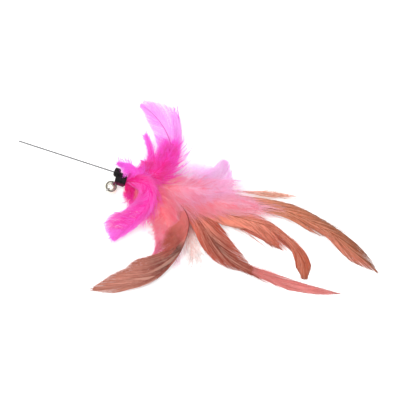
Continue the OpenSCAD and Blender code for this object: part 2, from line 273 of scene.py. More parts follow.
    def ripple(self, lines, wave, u, bunch=None):
        """Lets each strand, or each bunch as one, wander more and more towards its tip."""
        if wave:
            bunch = np.arange(len(lines)) if bunch is None else bunch
            n = bunch.max() + 1
            phase = (self.rng.random((3, n, 1)) * 2 * math.pi)[:, bunch]
            bends = (0.7 + 1.1 * self.rng.random((n, 1)))[bunch]
            for i, size in enumerate((1, 1, 0.8)):
                lines[..., i] += size * wave * u * np.sin(2 * math.pi * bends * u + phase[i])

    def hairs(self, count, length):
        """Fine hairs on the strands added last: each a closed spike that leaves its strand at a slant."""
        rng = self.rng
        lines, _, along, out, across, tone = self.groups[-1]
        n, m, _ = lines.shape
        which = rng.integers(0, n, count)
        at = (HAIR_FROM + (1 - HAIR_FROM) * rng.random(count)) * (m - 1.001)
        low = at.astype(int)
        part = (at - low)[:, None]
        base = lines[which, low] * (1 - part) + lines[which, low + 1] * part
        forward = unit(lines[which, low + 1] - lines[which, low])
        aside = unit(np.cross(forward, rng.standard_normal((count, 3)) * (0.35, 0.35, 1)))
        slant = forward * HAIR_ALONG + aside * HAIR_ASIDE
        tip = base + slant * (length * (0.5 + rng.random(count)))[:, None]
        half = np.stack([np.full(count, HAIR_W / 2), np.full(count, HAIR_W / 12)], 1)
        pair = [np.stack([fact[which, low]] * 2, 1) for fact in (along, out, across)]
        self.groups.append((np.stack([base, tip], 1), half, *pair, tone[which]))

    def add(self, lines, half, along, out, across, tone, mood):
        """lines (n, m, 3), with half, along, out and across (n, m). A strand's mood (n) says how far its
        tone is from the first of tone to the second."""
        self.groups.append((lines, half, along, out, across, tone[0] + (tone[1] - tone[0]) * mood))

    def mesh(self, name, shaft, shaft_r):
        """One mesh of all the strands and of the shaft's tapered tube, from its butt on. shaft_r is its
        radius at the butt and at the tip."""
        places, quads, tris, facts, maps = [], [], [], [], []
        first = cell = 0
        columns = max(1, int(math.sqrt((sum(len(g[0]) for g in self.groups) + 1) / CELL_SHAPE)))

        def tubes(co, fact, u, v):
            """n closed tubes of m rings of points, each with its facts, and with places in its own cell."""
            nonlocal first, cell
            n, m, sides, _ = co.shape
            places.append(co.reshape(-1, 3))
            index = first + np.arange(n * m * sides).reshape(n, m, sides)
            a, b = index[:, :-1], index[:, 1:]
            around = np.roll(np.arange(sides), -1)
            quads.append(np.stack([a, a[..., around], b[..., around], b], -1).reshape(-1, 4))
            for k in range(1, sides - 1):
                tris.append(index[:, 0, [k + 1, k, 0]])
                tris.append(index[:, -1, [0, k, k + 1]])
            facts.append(np.repeat(np.stack(fact, -1).reshape(-1, len(FACTS)), sides, axis=0))
            row, column = np.divmod(cell + np.arange(n)[:, None], columns)
            corner = np.stack([column + u, row + np.full(m, 0.5)], -1)
            corner = np.repeat(corner.reshape(-1, 2), sides, axis=0)
            corner[:, 1] += np.tile(v, n * m)
            maps.append(corner)
            first += n * m * sides
            cell += n

        for lines, half, along, out, across, tone in self.groups:
            n, m, _ = lines.shape
            tangent = unit(np.gradient(lines, axis=1))
            up = np.array([0, 0, 1.0]) + LEAN * self.rng.standard_normal((n, 1, 3))
            aside = unit(np.cross(up, tangent))
            normal = np.cross(tangent, aside)
            ring = np.stack([aside, -aside, normal * RIDGE], 2) * half[..., None, None]
            fact = (along, out, across, np.broadcast_to(tone[:, None], (n, m)), np.zeros((n, m)))
            in_cell = np.linspace(CELL_START, CELL_END, m)
            tubes(lines[:, :, None] + ring, fact, in_cell, [-CELL_HALF, CELL_HALF, 0])
        line = np.vstack([shaft.butt, shaft.points])
        share = np.concatenate([[0], shaft.share])
        radius = shaft_r[0] + (shaft_r[1] - shaft_r[0]) * share ** 0.7
        tangent = unit(np.gradient(line, axis=0))
        aside = unit(np.cross(np.array([0, 0, 1.0]), tangent))
        normal = np.cross(tangent, aside)
        turn = np.arange(SHAFT_SIDES) * 2 * math.pi / SHAFT_SIDES
        ring = aside[:, None] * np.cos(turn)[:, None] + normal[:, None] * np.sin(turn)[:, None]
        none = np.zeros(len(line))
        around = line[:, None] + ring * radius[:, None, None]
        in_cell = CELL_START + (CELL_END - CELL_START) * share
        tubes(around[None], (share, none, none, none + 0.5, none + 1), in_cell, CELL_HALF * np.cos(turn))
        co, quads, tris = np.vstack(places), np.vstack(quads), np.vstack(tris)
        co[:, 2] = np.maximum(co[:, 2], FLOOR_Z + FLOOR_GAP)
        facts = np.vstack(facts)
        maps = np.vstack(maps) / [columns, math.ceil(cell / columns)]
        loops = np.concatenate([quads.ravel(), tris.ravel()])
        starts = np.concatenate([np.arange(len(quads)) * 4, len(quads) * 4 + np.arange(len(tris)) * 3])
        made = bpy.data.meshes.new(name)
        made.vertices.add(len(co))
        made.vertices.foreach_set("co", co.ravel())
        made.loops.add(len(loops))
        made.loops.foreach_set("vertex_index", loops)
        made.polygons.add(len(starts))
        made.polygons.foreach_set("loop_start", starts)
        made.update(calc_edges=True)
        made.polygons.foreach_set("use_smooth", np.zeros(len(starts), bool))
        for k, fact in enumerate(FACTS):
            made.attributes.new(fact, "FLOAT", "POINT").data.foreach_set("value", facts[:, k].copy())
        made.uv_layers.new(name="OFBake").data.foreach_set("uv", maps[loops].ravel())
        return made


def linear(colour):
    """A colour given as it looks, 0 to 255, as the shader needs it."""
    share = np.array(colour) / 255
    value = np.where(share <= 0.04045, share / 12.92, ((share + 0.055) / 1.055) ** 2.4)
    return (*value, 1.0)


def is_socket(value):
    return isinstance(value, bpy.types.NodeSocket)


class NodeKit:
    """The nodes of a material or of the world. An input is given as a socket, to link to it, or a value."""

    def __init__(self, tree):
        self.nodes = tree.nodes
        self.links = tree.links

    def set(self, node, inputs):
        for place, value in inputs.items():
            if is_socket(value):
                self.links.new(value, node.inputs[place])
            else:
                node.inputs[place].default_value = value

    def add(self, kind, inputs, **settings):
        node = self.nodes.new("ShaderNode" + kind)
        for name, value in settings.items():
            setattr(node, name, value)
        self.set(node, inputs)
        return node

    def ramp(self, source, stops):
        """A colour ramp over a value, from a table of colours."""
        node = self.add("ValToRGB", {"Fac": source})
        made = node.color_ramp.elements
        for number, (place, colour) in enumerate(stops.items()):
            stop = made[number] if number < 2 else made.new(place)
            stop.position = place
            stop.color = linear(colour)
        return node.outputs["Color"]

    def mix(self, factor, below, above, blend="MIX"):
        """A colour with another over it by a factor. Each is a socket or a colour from 0 to 255."""
        below, above = (colour if is_socket(colour) else linear(colour) for colour in (below, above))
        inputs = {0: factor, 6: below, 7: above}
        return self.add("Mix", inputs, data_type="RGBA", blend_type=blend).outputs[2]

    def scaled(self, value, low, high, out_low, out_high):
        inputs = {"Value": value, "From Min": low, "From Max": high, "To Min": out_low, "To Max": out_high}
        return self.add("MapRange", inputs).outputs["Result"]

    def grain(self, place, scale, detail):
        return self.add("TexNoise", {"Scale": scale, "Detail": detail, "Vector": place}).outputs["Fac"]

    def bump(self, height, strength, depth):
        inputs = {"Strength": strength, "Distance": depth, "Height": height}
        return self.add("Bump", inputs).outputs["Normal"]

    def object_place(self):
        return self.add("TexCoord", {}).outputs["Object"]

    def finish(self, shader):
        self.set(self.nodes["Material Output"], {"Surface": shader})


def new_material(name):
    made = bpy.data.materials.new(name)
    made.use_nodes = True
    kit = NodeKit(made.node_tree)
    return made, kit, kit.nodes["Principled BSDF"]


# The colour that all quills have near the knot, and the shares over which it gives way to the shaft's own
QUILL_PINK = (245, 55, 160)
QUILL_END, SHAFT_START = 0.12, 0.28
# Tones at which a barb is as dark as it gets, plain, and as light as it gets
DARK_TONE, PLAIN_TONE, LIGHT_TONE = 0.2, 0.5, 0.8
# Shares out along a barb over which the colour near the shaft, partly painted shade, fades
SPINE_FADE = (0.15, 0.8)
# The share over which a colour across the feather comes in, and how much of its tip's colour a barb takes
SIDE_FADE = 0.2
TIP_SHARE = 0.5
# The grain over a feather: its values that count, and how much of the light colour it adds
GRAIN_LOW, GRAIN_HIGH = 0.3, 0.7
GRAIN_LIGHT = 0.12
# A feather's grain, as its scale and detail, and its bump, as its strength and depth
DYE_GRAIN = (260, 3)
DYE_BUMP = (0.25, 0.1 * MM)


def dye(name, along, dark, light, tip=None, *, shaft, tip_from=0.4, sides=None, side_share=None,
        side_from=None, spine=None, contrast=0.6, glow=0.45):
    """A dyed feather. along is its colours from quill to tip. Barbs of low tone are mixed with dark, and
    of high tone with light. tip colours the barbs' ends, sides is colours from the right edge to the left,
    which may come in from side_from on and may hold painted shade at an edge, spine is a darker colour near
    the shaft with its amounts along it, from 0 to 255, partly the feather's own and partly painted shade
    where the vane folds, and glow is how much light comes through."""
    made, kit, body = new_material("dye_" + name)
    facts = {fact: kit.add("Attribute", {}, attribute_name=fact).outputs["Fac"] for fact in FACTS}
    grain = kit.grain(kit.object_place(), *DYE_GRAIN)
    colour = kit.ramp(facts["along"], along)
    if sides:
        amount = side_share
        if side_from:
            amount = kit.scaled(facts["along"], side_from, side_from + SIDE_FADE, 0, side_share)
        across = kit.ramp(kit.scaled(facts["across"], -1, 1, 0, 1), sides)
        colour = kit.mix(amount, colour, across)
    # A darker colour near the shaft: partly the feather's own dark core and partly painted shade where the
    # vane folds
    if spine:
        near = kit.scaled(facts["out"], *SPINE_FADE, 1, 0)
        along_spine = kit.ramp(facts["along"], {share: (level,) * 3 for share, level in spine[1].items()})
        near = kit.mix(1.0, near, along_spine, "MULTIPLY")
        colour = kit.mix(near, colour, spine[0])
    colour = kit.mix(kit.scaled(facts["tone"], DARK_TONE, PLAIN_TONE, contrast, 0), colour, dark)
    colour = kit.mix(kit.scaled(facts["tone"], PLAIN_TONE, LIGHT_TONE, 0, contrast), colour, light)
    if tip:
        colour = kit.mix(kit.scaled(facts["out"], tip_from, 1, 0, TIP_SHARE), colour, tip)
    colour = kit.mix(kit.scaled(grain, GRAIN_LOW, GRAIN_HIGH, 0, GRAIN_LIGHT), colour, light)
    line = kit.ramp(facts["along"], {QUILL_END: QUILL_PINK, SHAFT_START: shaft})
    colour = kit.mix(facts["shaft"], colour, line)
    kit.set(body, {"Base Color": colour, "Roughness": 0.6, "Sheen Weight": 0.2, "Specular IOR Level": 0.25,
                   "Normal": kit.bump(grain, *DYE_BUMP)})
    through = kit.add("BsdfTranslucent", {"Color": colour})
    both = kit.add("MixShader", {"Fac": glow, 1: body.outputs["BSDF"], 2: through.outputs["BSDF"]})
    kit.finish(both.outputs["Shader"])


def add_piece(name, data, material, node, replaced=False):
    """Puts a new piece on the lure, with the finish of a node, which it may replace."""
    data.materials.append(material)
    piece = bpy.data.objects.new(name, data)
    bpy.context.scene.collection.objects.link(piece)
    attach(piece, "lure")
    if replaced:
        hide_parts(node)


def finish_feather(name, strands, shaft, dye_name, shaft_r=(0.4, 0.08)):
    data = strands.mesh(name + "_barbs", shaft, [MM * radius for radius in shaft_r])
    add_piece(name + "_barbs", data, bpy.data.materials["dye_" + dye_name], name, replaced=True)


def extra(side, edge, count, start, stop, reach, **more):
    """A further web of a feather: what Strands.web needs for it."""
    return dict(side=side, edge=edge, count=count, start=start, stop=stop, reach=reach, **more)


# What hackles' webs have in common, and plumes' webs, the locks of barbs that lie on them, and the number of
# barbs in a lock
HACKLE_WEB = dict(patches=(0.15, 0.4), clumps=110, spread=0.15)
PLUME_WEB = dict(start=0.12, reach=0.14, width=0.17, bow=1.6, splits=7, clumps=22, part=0.2, gather=0.3,
    tips=(0.65, 1.15), wave=0.5, lift=0.9, fade=0.75, spread=0.2)
HACKLE_LOCKS = dict(rise=0.5, lock=0.9, width=0.3, tips=(0.3, 1), loose=0.8)
PLUME_LOCKS = dict(rise=1.4, gather=1.2, loose=0.2, part=0, lift=0.8, wave=0.3, width=0.16)
HACKLE_LOCK, PLUME_LOCK = 3, 9
# The down at a hackle's base, the few strays that start later and reach further than its web, and a plume's
# haze of down and hairs
BASE_START = 0.04
BASE_ANGLES = dict(lean={0: 45, 1: 38}, settle={0: 14, 1: 10})
STRAY_LATER, STRAY_STOP, STRAY_REACH = 0.1, 0.9, 1.25
STRAYS = dict(width=0.25, tips=(1.1, 1.5), wave=0.3, tone=(0, 0.3), clumps=30)
HAZE = dict(width=0.2, scatter=16, wave=0.8, tone=(0.2, 1))
PLUME_HAIR = 1.5 * MM


def hackle(name, dye_name, seed, line, left, right, counts, shift=LEVEL, lifted=LEVEL, reach=0.2, start=0.28,
           down_stop=0.45, strays=14, accents=36, accent_tones=ACCENT_TONES, extras=(), **more):
    """A long hackle: downy at its base, then a close web to a point, with a few strays and with accents,
    which are barbs in dark and light locks on top. line is what Shaft needs, and extras are further webs."""
    shaft = Shaft(HACKLE, *line, shift, lifted)
    strands = Strands(seed)
    web = dict(HACKLE_WEB, start=start, reach=reach, **more)
    lengths = {0: BASE_DOWN["length"], down_stop: BASE_DOWN["length"] * SHORT_DOWN}
    for side, edge, count in ((1, left, counts[0]), (-1, right, counts[1])):
        strands.tuft(shaft, side, BASE_DOWN["count"], lengths, BASE_START, down_stop, **BASE_ANGLES)
        strands.hairs(BASE_DOWN["hairs"], BASE_DOWN["hair_length"])
        strands.web(shaft, side, edge, count, **web)
        strands.web(shaft, side, edge, strays, start + STRAY_LATER, STRAY_STOP, reach * STRAY_REACH,
                    **STRAYS)
        for tone in accent_tones:
            locks = dict(HACKLE_LOCKS, tone=tone, clumps=accents // HACKLE_LOCK)
            strands.web(shaft, side, edge, accents, **dict(web, **locks))
    for options in extras:
        strands.web(shaft, **options)
    finish_feather(name, strands, shaft, dye_name)


def plume(name, dye_name, seed, line, left, right, counts, haze, haze_long=9, shift=LEVEL, lifted=LEVEL,
          hairs=5, accents=0, extras=(), shaft_r=(0.4, 0.1), right_reach=None, **more):
    """A soft plume: a loose web on each side with fine hairs, a haze of wavy down over it, and accents as on
    a hackle. right_reach is the right side's reach, where it has its own."""
    web = dict(PLUME_WEB, **more)
    shaft = Shaft(PLUME, *line, shift, lifted)
    strands = Strands(seed)
    lengths = {0: haze_long * SHORT_DOWN, 0.5: haze_long, 1: haze_long * SHORT_DOWN}
    for side, edge, count in ((1, left, counts[0]), (-1, right, counts[1])):
        if side < 0 and right_reach:
            web["reach"] = right_reach
        strands.web(shaft, side, edge, count, **web)
        strands.hairs(count * hairs, PLUME_HAIR)
        for tone in ACCENT_TONES if accents else ():
            locks = dict(PLUME_LOCKS, tone=tone, clumps=accents // PLUME_LOCK)
            strands.web(shaft, side, edge, accents, **dict(web, **locks))
        strands.tuft(shaft, side, haze, lengths, web["start"], web.get("stop", 1), **HAZE)
    for options in extras:
        strands.web(shaft, **options)
    finish_feather(name, strands, shaft, dye_name, shaft_r)


# Of a hard surface: how far a tint with painted sheen takes over its colour, how far its roughness varies,
# its grain and bump
TINT_SHARE = 0.85
SMOOTHER, ROUGHER = 0.8, 1.2
HARD_DETAIL = 5
HARD_BUMP = 0.5


def solid_material(name, colour, metallic, rough, grain_scale, grain_depth, vary=0.15, stretch=(1, 1, 1),
                   tint_and_sheen=None, shine=0.5):
    """A hard surface: its colour and roughness vary a little over a fine grain. It may take on a tint,
    partly painted sheen, from one place along Y to another."""
    made, kit, body = new_material(name)
    where = kit.object_place()
    turned = kit.add("Mapping", {"Vector": where, "Scale": stretch})
    grain = kit.grain(turned.outputs["Vector"], grain_scale, HARD_DETAIL)
    worn = kit.ramp(grain, {GRAIN_LOW: tuple(c * (1 - vary) for c in colour), GRAIN_HIGH: colour})
    if tint_and_sheen:
        # Towards one end in Y the colour goes over to the tint, which holds painted sheen
        along_y = kit.add("SeparateXYZ", {"Vector": where}).outputs["Y"]
        worn = kit.mix(kit.scaled(along_y, *tint_and_sheen[1], 0, TINT_SHARE), worn, tint_and_sheen[0])
    varied = kit.scaled(grain, GRAIN_LOW, GRAIN_HIGH, rough * SMOOTHER, rough * ROUGHER)
    kit.set(body, {"Base Color": worn, "Roughness": varied, "Metallic": metallic,
                   "Specular IOR Level": shine, "Normal": kit.bump(grain, HARD_BUMP, grain_depth)})
    return made


BLACK = (22, 10, 20)
# The wrap's tint, partly the quills' maroon and partly painted purple sheen, and where it starts and is
# full, above the wrap's lowest Y
WRAP_TINT_AND_SHEEN = (150, 45, 95)
TINT_START = 3.2 * MM
TINT_FULL = 0.6 * MM


def hardware():
    """Gives the metal, rubber and thread pieces their looks, and winds thread round the two lumps."""
    rubbery = dict(vary=0.5, shine=0.25)
    wrap_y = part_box("quill_wrap")[0].y
    # The wrap takes the maroon tint with painted purple sheen towards its lowest Y
    tint_and_sheen = (WRAP_TINT_AND_SHEEN, (wrap_y + TINT_START, wrap_y + TINT_FULL))
    steel = solid_material("drawn_steel", (98, 98, 100), 1, 0.35, 900, 0.01 * MM, stretch=(0.05, 1, 1))
    black = solid_material("black_rubber", BLACK, 0, 0.55, 500, 0.2 * MM, **rubbery)
    wrap = solid_material("black_wrap", BLACK, 0, 0.55, 500, 0.2 * MM, tint_and_sheen=tint_and_sheen, **rubbery)
    ring = solid_material("dark_steel", (102, 98, 92), 1, 0.35, 700, 0.02 * MM)
    gold = solid_material("pale_gold", (255, 250, 236), 1, 0.45, 600, 0.01 * MM, vary=0.04)
    link = solid_material("bell_steel", (190, 190, 190), 1, 0.3, 600, 0.01 * MM)
    thread = solid_material("wound_thread", (200, 60, 140), 0, 0.8, 1200, 0.05 * MM)
    worn = {"wire": steel, "wire_sleeve": black, "quill_wrap": wrap, "thread_whipping": thread,
            "bell_ring": ring, "bell_shackle": link, "bell_upper_shell": gold, "bell_lower_shell": gold,
            "bell_ball": link}
    for node, material in worn.items():
        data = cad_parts[node].data
        data.materials.clear()
        data.materials.append(material)
    winding("wire_sleeve", 7, 1, black)
    winding("quill_wrap", 12, 2, wrap)


# Of the thread wound round a lump: its radius, how far it stays from the lump's ends, the points in a turn,
# how far a turn may tilt, and how far it may lie in and out
THREAD_R = 0.3 * MM
THREAD_MARGIN = 0.9 * MM
TURN_POINTS = 20
TILT = 0.5
SUNK, PROUD = -0.2, 0.1


def winding(node, turns, seed, material):
    """Black thread wound round a lump in slightly uneven turns."""
    rng = np.random.default_rng(seed)
    low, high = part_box(node)
    radius = high.z
    middle = high.y - radius
    number = np.linspace(0, turns, TURN_POINTS * turns + 1)
    tilt = np.interp(number, np.arange(turns + 1), rng.uniform(-TILT, TILT, turns + 1) * MM)
    proud = np.interp(number, np.arange(turns + 1), rng.uniform(SUNK, PROUD, turns + 1) * MM)
    angle = 2 * math.pi * number
    line = np.ones((len(number), 4))
    wound = (high.x - low.x - 2 * THREAD_MARGIN) * number / turns
    line[:, 0] = low.x + THREAD_MARGIN + wound + tilt * np.sin(angle)
    line[:, 1] = middle + (radius + proud) * np.cos(angle)
    line[:, 2] = (radius + proud) * np.sin(angle)
    path = bpy.data.curves.new(node + "_winding", "CURVE")
    path.dimensions = "3D"
    path.bevel_depth = THREAD_R
    path.bevel_resolution = 1
    path.use_fill_caps = True
    path.splines.new("POLY").points.add(len(line) - 1)
    path.splines[0].points.foreach_set("co", line.ravel())
    add_piece(node + "_winding", path, material, node)


WHITE = (1, 1, 1, 1)
# The floor's size and colour, how much brighter it is seen, and the world's strength as seen and as light
FLOOR_SIZE = 6
FLOOR_GREY = (0.86, 0.86, 0.86, 1)
FLOOR_GLOW = 0.45
SKY_SEEN = 1
SKY_LIGHT = 0.46
# The place that the camera and the lamps look at
LOOKED_AT = np.array([133.3, -0.1, 0]) * MM
# Lamps: name, place from there, size and power
LAMPS = (("key", (-0.22, 0.2, 1.1), 0.5, 9.0), ("fill", (0.5, -0.5, 0.9), 0.8, 1.4))
CAMERA_Z = 933 * MM
CAMERA_TURN = 18
LENS = 120
SENSOR = 36


def seen_directly(kit):
    """1 for rays from the camera, a mirror or a clear surface, and 0 for the light that the object gets."""
    path = kit.add("LightPath", {})
    seen = path.outputs["Is Camera Ray"]
    for other in ("Is Glossy Ray", "Is Transmission Ray"):
        seen = kit.add("Math", {0: seen, 1: path.outputs[other]}, operation="MAXIMUM").outputs[0]
    return seen


def stage():
    """A pale floor and backdrop, soft lamps and the camera straight above."""
    scene = bpy.context.scene
    scene.view_settings.view_transform = "Standard"
    scene.cycles.diffuse_bounces = 10
    bpy.ops.mesh.primitive_plane_add(size=FLOOR_SIZE, location=(0, 0, FLOOR_Z))
    floor = bpy.context.object
    floor.name = "floor"
    made, kit, body = new_material("floor_paper")
    kit.set(body, {"Base Color": FLOOR_GREY, "Roughness": 0.9})
    strength = kit.scaled(seen_directly(kit), 0, 1, 0, FLOOR_GLOW)
    glow = kit.add("Emission", {"Color": WHITE, "Strength": strength})
    both = kit.add("AddShader", {0: body.outputs["BSDF"], 1: glow.outputs["Emission"]})
    kit.finish(both.outputs["Shader"])
    floor.data.materials.append(made)

    world = bpy.data.worlds.new("world")
    scene.world = world
    world.use_nodes = True
    kit = NodeKit(world.node_tree)
    strength = kit.scaled(seen_directly(kit), 0, 1, SKY_LIGHT, SKY_SEEN)
    kit.set(kit.nodes["Background"], {"Color": WHITE, "Strength": strength})

    for name, away, size, watts in LAMPS:
        lamp = bpy.data.lights.new(name, "AREA")
        lamp.size = size
        lamp.energy = watts
        holder = bpy.data.objects.new(name, lamp)
        holder.location = LOOKED_AT + away
        holder.rotation_euler = (-Vector(away)).to_track_quat("-Z", "Y").to_euler()
        scene.collection.objects.link(holder)

    camera = bpy.data.objects.new("camera", bpy.data.cameras.new("camera"))
    camera.data.sensor_width = SENSOR
    camera.data.lens = LENS
    camera.location = (LOOKED_AT[0], LOOKED_AT[1], CAMERA_Z)
    camera.rotation_euler = (0, 0, math.radians(CAMERA_TURN))
    scene.collection.objects.link(camera)
    scene.camera = camera


stage()
hardware()

# The dye of each kind of feather, which asks for it by name
dye("magenta", {0: (255, 20, 180), 0.4: (255, 46, 208), 0.75: (255, 112, 236), 1: (255, 155, 250)},
    (245, 25, 175), (255, 155, 245), (255, 190, 252), shaft=(250, 50, 195))
dye("bright_pink", {0: (255, 60, 205), 0.3: (255, 105, 235), 1: (255, 135, 248)}, (248, 50, 205),
    (255, 165, 252), (255, 180, 255), shaft=(250, 70, 210))
dye("hot_pink", {0: (250, 10, 130), 0.35: (255, 28, 178), 0.7: (255, 80, 228), 1: (255, 120, 240)},
    (240, 15, 130), (255, 120, 240), (255, 160, 248), shaft=(240, 40, 160))
dye("deep_pink", {0: (250, 0, 150), 0.25: (250, 0, 158), 0.45: (255, 50, 205), 1: (255, 110, 235)},
    (240, 0, 142), (255, 80, 215), (255, 150, 240), shaft=(235, 30, 140))
dye("pale_pink",
    {0: (255, 60, 200), 0.4: (255, 95, 222), 0.55: (255, 170, 248), 0.75: (255, 208, 255),
        1: (253, 195, 253)}, (248, 160, 238), (255, 230, 255), (255, 220, 255), shaft=(232, 105, 205))
dye("violet_pink", {0: (255, 60, 200), 0.4: (250, 80, 215), 0.7: (244, 140, 238), 1: (245, 175, 250)},
    (225, 90, 200), (255, 200, 255), (250, 195, 255), shaft=(215, 85, 195))
dye("petal_pink", {0: (255, 220, 230), 0.4: (255, 248, 252), 0.7: (255, 246, 253), 1: (255, 228, 252)},
    (255, 224, 245), (255, 248, 254), (255, 236, 254), shaft=(252, 205, 238), glow=0.6)
dye("coral",
    {0: (245, 45, 95), 0.15: (246, 55, 98), 0.3: (252, 76, 106), 0.42: (255, 114, 124),
        0.55: (255, 166, 182), 0.75: (255, 200, 222), 1: (255, 222, 242)}, (255, 115, 145), (255, 215, 226),
    (255, 196, 216), shaft=(255, 170, 182),
    sides={0: (246, 122, 112), 0.3: (255, 152, 162), 0.65: (255, 180, 210), 1: (255, 205, 245)},
    side_share=0.45, contrast=0.7, glow=0.25)
dye("coral_rose",
    {0: (245, 35, 90), 0.3: (238, 45, 88), 0.42: (245, 80, 112), 0.55: (255, 150, 176),
        0.75: (255, 192, 222), 1: (255, 212, 245)}, (250, 105, 140), (255, 218, 236), (255, 200, 232),
    shaft=(255, 170, 190), glow=0.25)
dye("coral_pink",
    {0: (250, 30, 165), 0.18: (250, 48, 140), 0.3: (250, 72, 118), 0.45: (255, 120, 142),
        0.65: (255, 165, 172), 0.8: (255, 160, 185), 1: (255, 135, 215)}, (252, 80, 122), (255, 200, 208),
    (255, 172, 212), shaft=(255, 130, 150), contrast=0.75, glow=0.25)
dye("pale_peach",
    {0: (250, 110, 120), 0.5: (252, 150, 146), 0.66: (253, 196, 190), 0.8: (254, 232, 227),
        1: (255, 243, 240)}, (252, 208, 203), (255, 246, 243), shaft=(248, 190, 184), contrast=0.35,
    glow=0.3)
dye("sickle_brown",
    {0: (255, 130, 150), 0.3: (255, 145, 152), 0.45: (250, 128, 115), 0.5: (252, 128, 114),
        0.56: (240, 122, 106), 0.61: (185, 94, 80), 0.74: (222, 146, 128), 1: (240, 170, 148)},
    (136, 52, 42), (250, 205, 185), (190, 100, 80), tip_from=0.6, shaft=(140, 44, 36),
    # Its spine colour near the shaft is partly painted shade
    spine=((84, 14, 12), {0.43: 0, 0.49: 255, 0.6: 235, 0.68: 130, 0.78: 70, 0.9: 20}), contrast=0.4,
    glow=0.3)
dye("low_rust",
    {0: (255, 150, 165), 0.35: (252, 148, 135), 0.5: (255, 158, 138), 0.62: (240, 124, 98),
        0.8: (216, 98, 74), 1: (190, 88, 64)}, (148, 54, 38), (255, 205, 184), (205, 112, 92), tip_from=0.7,
    # Its spine colour near the shaft is partly painted shade
    shaft=(160, 72, 55), spine=((118, 34, 18), {0.58: 0, 0.75: 255, 1: 255}), contrast=0.55)
dye("rose",
    {0: (255, 150, 165), 0.4: (245, 140, 120), 0.55: (200, 98, 75), 0.66: (242, 155, 150),
        1: (255, 178, 175)}, (205, 115, 105), (255, 205, 200), (200, 140, 132), tip_from=0.7,
    shaft=(225, 135, 128), contrast=0.4)
dye("hooked_rust",
    {0: (255, 165, 178), 0.35: (255, 182, 162), 0.6: (255, 180, 154), 0.78: (236, 144, 116),
        0.86: (222, 110, 74), 1: (218, 108, 68)}, (178, 84, 60), (255, 208, 184), (172, 104, 82),
    tip_from=0.82, shaft=(180, 85, 58), contrast=0.55)
dye("middle_salmon", {0: (255, 165, 178), 0.5: (252, 160, 138), 1: (235, 130, 112)}, (180, 90, 70),
    (255, 190, 170), (170, 94, 75), tip_from=0.7, shaft=(205, 105, 85))
dye("long_rust",
    {0: (255, 165, 178), 0.4: (255, 190, 172), 0.54: (248, 184, 152), 0.64: (236, 156, 116),
        1: (214, 122, 84)}, (156, 82, 56), (255, 206, 178), (150, 100, 76), tip_from=0.78,
    shaft=(170, 84, 54),
    # Across it: pink at the right edge and darker to the left, that darkening partly painted shade where the
    # vane curls
    sides={0: (250, 172, 156), 0.3: (240, 148, 116), 0.65: (216, 124, 86), 1: (150, 96, 68)}, side_share=0.6,
    side_from=0.58, contrast=0.55)
dye("wisp_tan", {0: (255, 180, 200), 0.72: (255, 205, 208), 0.84: (252, 205, 182), 1: (250, 200, 172)},
    (200, 138, 116), (255, 238, 226), (250, 205, 182), shaft=(245, 190, 160), contrast=0.7)

# The long hackles
hackle("hackle_sickle", "sickle_brown", 11,
    line=((-3, 1), 0.76, {0: 7, 0.24: -12, 0.41: -90, 0.6: -112, 0.8: -147, 1: -158},
        {0.1: 0.38, 0.4: 0.35, 1: -0.72}), counts=(200, 740), reach=0.26, width=0.42, start=0.435, part=0.1,
    uneven=0.08, splits=12, lifted={0.3: 0, 0.37: 0.6, 0.5: 0.6, 0.8: 0}, accent_tones=[(0, 0.05)],
    down_stop=0.3, shift={0.2: 0, 0.35: 0.25, 0.5: 0.3, 0.65: 0.12, 0.8: -0.12, 1: -0.2},
    left={0.2: 0, 0.66: 0.02, 0.74: 0.14, 0.84: 0.27, 0.9: 0.3, 1: 0.06}, last=0.975,
    right={0.2: 0.3, 0.4: 0.9, 0.5: 1.15, 0.6: 1.22, 0.7: 1.36, 0.76: 1.22, 0.8: 1.02, 0.9: 0.7, 1: 0.08},
    extras=[
        extra(-1, {0: 1.2, 0.6: 1.25, 1: 1.3}, 420, 0.3, 0.43, 0.15, tone=(0, 0.6), rise=0.6, width=0.34,
            loose=1, wave=0.6, sway=1.2, tips=(0.45, 1.12), clumps=16, gather=0.8),
        # Two thin locks of the lightest barbs raised over the dark core: painted highlight streaks
        extra(-1, {0: 0.75, 1: 0.3}, 10, 0.5, 0.56, 0.2, tone=(1, 1), lift=0, rise=0.9, width=0.45,
            gather=1),
        extra(-1, {0: 0.6, 1: 0.3}, 8, 0.66, 0.7, 0.12, tone=(1, 1), lift=0, rise=0.9, width=0.45,
            gather=1)])
hackle("hackle_low_short", "low_rust", 12,
    line=((-2, 0), 0.57, {0: 3, 0.2: -2, 0.4: -22, 0.6: -46, 0.8: -28, 1: -8},
        {0.1: -0.02, 0.5: -0.05, 1: -0.35}), counts=(440, 440), reach=0.3, width=0.42, part=0.12,
    uneven=0.12, accents=60, shift={0.35: 0.1, 0.6: 0.3, 0.8: 0.34, 1: 0.3}, last=1.03,
    left={0.3: 0.25, 0.5: 0.68, 0.7: 0.92, 0.85: 0.8, 0.93: 0.68, 1: 0.45, 1.1: 0.15, 1.2: 0.02},
    right={0.3: 0.25, 0.5: 0.5, 0.7: 0.72, 0.8: 0.68, 0.9: 0.42, 1: 0.1, 1.15: 0.02},
    extras=[
        extra(-1, {0: 0.5, 1.3: 0.1}, 22, 0.72, 0.95, 0.3, last=1.25, tone=(0, 0.2), width=0.32, fade=0.6,
            wave=0.5, tips=(0.3, 1.3), loose=1),
        extra(-1, {0: 0.5, 1: 0.3}, 26, 0.4, 0.85, 0.25, tone=(0, 0.05), rise=0.5, width=0.25,
            tips=(0.1, 0.9), clumps=9, gather=0.9, loose=0.6)])
